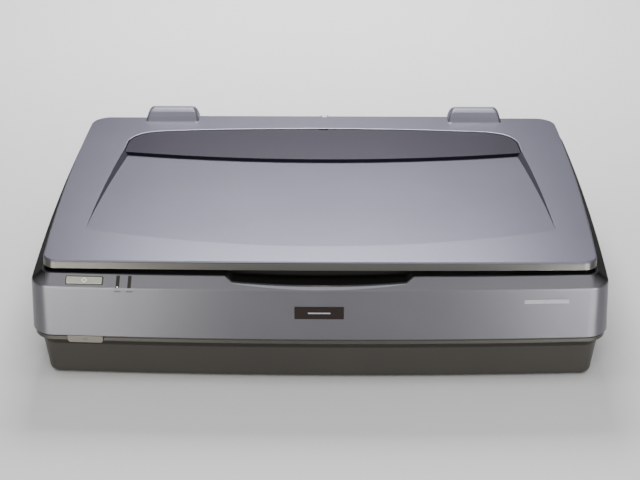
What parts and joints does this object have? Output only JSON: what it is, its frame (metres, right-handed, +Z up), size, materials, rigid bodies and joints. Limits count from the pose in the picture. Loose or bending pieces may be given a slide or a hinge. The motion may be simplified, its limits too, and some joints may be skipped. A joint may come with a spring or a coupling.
{
  "type": "flatbed scanner",
  "caption": "Large-format flatbed scanner: hinged lid with a dished panel over a bevelled base, glass platen, moving scan carriage, front buttons and rear connectors.",
  "frame": {"origin": "centre of the footprint, on the surface the feet stand on", "axes": "+X along the scanner's width, to the right seen from the front; -Y towards the user; +Z up"},
  "size_m": [0.656, 0.4579, 0.1598],
  "materials": {
    "housing_grey": "satin metallic",
    "base_dark": "satin",
    "deck_black": "matte",
    "lid_silver": "satin metallic",
    "crescent_dark": "satin",
    "platen_glass": "polished",
    "button_silver": "satin metallic",
    "power_grey": "satin",
    "mat_white": "matte",
    "foam_white": "soft",
    "rubber_black": "matte",
    "rule_grey": "matte",
    "badge_black": "gloss",
    "strip_silver": "satin",
    "window_dark": "gloss",
    "board_green": "satin",
    "steel_plain": "brushed",
    "steel_bright": "polished",
    "bushing_bronze": "satin",
    "black_plastic": "matte",
    "gear_white": "satin",
    "lamp_glass": "frosted",
    "mirror_face": "polished",
    "cable_white": "satin"
  },
  "bodies": {
    "root": {"upper_housing": "housing_grey", "lower_housing": "base_dark", "bed_frame": "deck_black", "finger_well": "deck_black", "platen_glass": "platen_glass", "guide_rulers": "rule_grey", "badge_plate": "badge_black", "name_strip": "strip_silver", "indicator_windows": "window_dark", "control_board": "board_green", "switch_board": "board_green", "rubber_feet": "rubber_black", "hinge_sockets": "black_plastic", "pulley_axles": "steel_bright", "drive_belt": "rubber_black", "drive_motor": "steel_plain", "motor_bracket": "steel_plain", "idler_bracket": "steel_plain", "idler_spring": "steel_bright", "guide_rod": "steel_bright", "rod_brackets": "black_plastic", "slide_rail": "steel_plain", "chassis_plate": "steel_plain", "main_board": "board_green", "supply_board": "board_green", "power_inlet": "black_plastic", "data_port": "steel_plain", "bus_ports": "steel_plain", "option_port": "steel_plain", "connector_plate": "steel_plain", "flat_cable": "cable_white", "white_reference": "mat_white", "home_sensor": "black_plastic", "board_screws": "steel_bright"},
    "hinge_posts": {"hinge_post_left": "black_plastic", "hinge_post_right": "black_plastic", "hinge_pins": "steel_bright"},
    "lid": {"lid_shell": "lid_silver", "lid_crescent": "crescent_dark", "lid_inner_plate": "cable_white", "lid_foam_pad": "foam_white", "lid_white_mat": "mat_white", "hinge_cover_left": "lid_silver", "hinge_cover_right": "lid_silver", "hinge_brackets": "steel_plain"},
    "start_key": {"start_button": "button_silver"},
    "power_key": {"power_button": "power_grey"},
    "carriage": {"carriage_housing": "black_plastic", "rod_bushings": "bushing_bronze", "carriage_slider": "gear_white", "lamp_tube": "lamp_glass", "lamp_reflector": "strip_silver", "scan_mirrors": "mirror_face", "scan_lens": "badge_black", "sensor_board": "board_green", "belt_clamp": "black_plastic"},
    "drive_wheel": {"drive_pulley": "gear_white"},
    "idler_wheel": {"idler_pulley": "gear_white"},
    "pinion": {"motor_pinion": "bushing_bronze"},
    "lock_knob": {"transport_lock": "black_plastic"}
  },
  "joints": [
    {"name": "lid_lift", "type": "slide", "parent": "root", "child": "hinge_posts", "axis": [0, 0, 1], "range_m": [0, 0.04]},
    {"name": "lid_hinge", "type": "hinge", "parent": "hinge_posts", "child": "lid", "pos_m": [0, 0.219, 0.141], "axis": [-1, 0, 0], "range_deg": [0, 80]},
    {"name": "start_press", "type": "slide", "parent": "root", "child": "start_key", "axis": [0.0306, 0.6395, -0.7682], "range_m": [0, 0.001], "stiffness_N_per_m": 1500, "springref_m": -0.0004},
    {"name": "power_press", "type": "slide", "parent": "root", "child": "power_key", "axis": [0.0482, 0.9988, 0], "range_m": [0, 0.0012], "stiffness_N_per_m": 1500, "springref_m": -0.0004},
    {"name": "carriage_travel", "type": "slide", "parent": "root", "child": "carriage", "axis": [1, 0, 0], "range_m": [0, 0.44]},
    {"name": "drive_wheel_spin", "type": "hinge", "parent": "root", "child": "drive_wheel", "pos_m": [-0.29, 0.195, 0.09], "axis": [0, 0, 1], "range_deg": [-60, 2671]},
    {"name": "idler_wheel_spin", "type": "hinge", "parent": "root", "child": "idler_wheel", "pos_m": [0.29, 0.195, 0.09], "axis": [0, 0, 1], "range_deg": [-60, 2671]},
    {"name": "pinion_spin", "type": "hinge", "parent": "root", "child": "pinion", "pos_m": [-0.29, 0.17085, 0.085], "axis": [0, 0, 1], "range_deg": [-8013, 180]},
    {"name": "lock_turn", "type": "hinge", "parent": "root", "child": "lock_knob", "pos_m": [0.235, 0.223, 0.088], "axis": [0, 1, 0], "range_deg": [0, 90]}
  ],
  "couplings": [
    {"joint": "drive_wheel_spin", "follows": "carriage_travel", "rad_per_m": 100},
    {"joint": "idler_wheel_spin", "follows": "carriage_travel", "rad_per_m": 100},
    {"joint": "pinion_spin", "follows": "carriage_travel", "rad_per_m": -300}
  ]
}
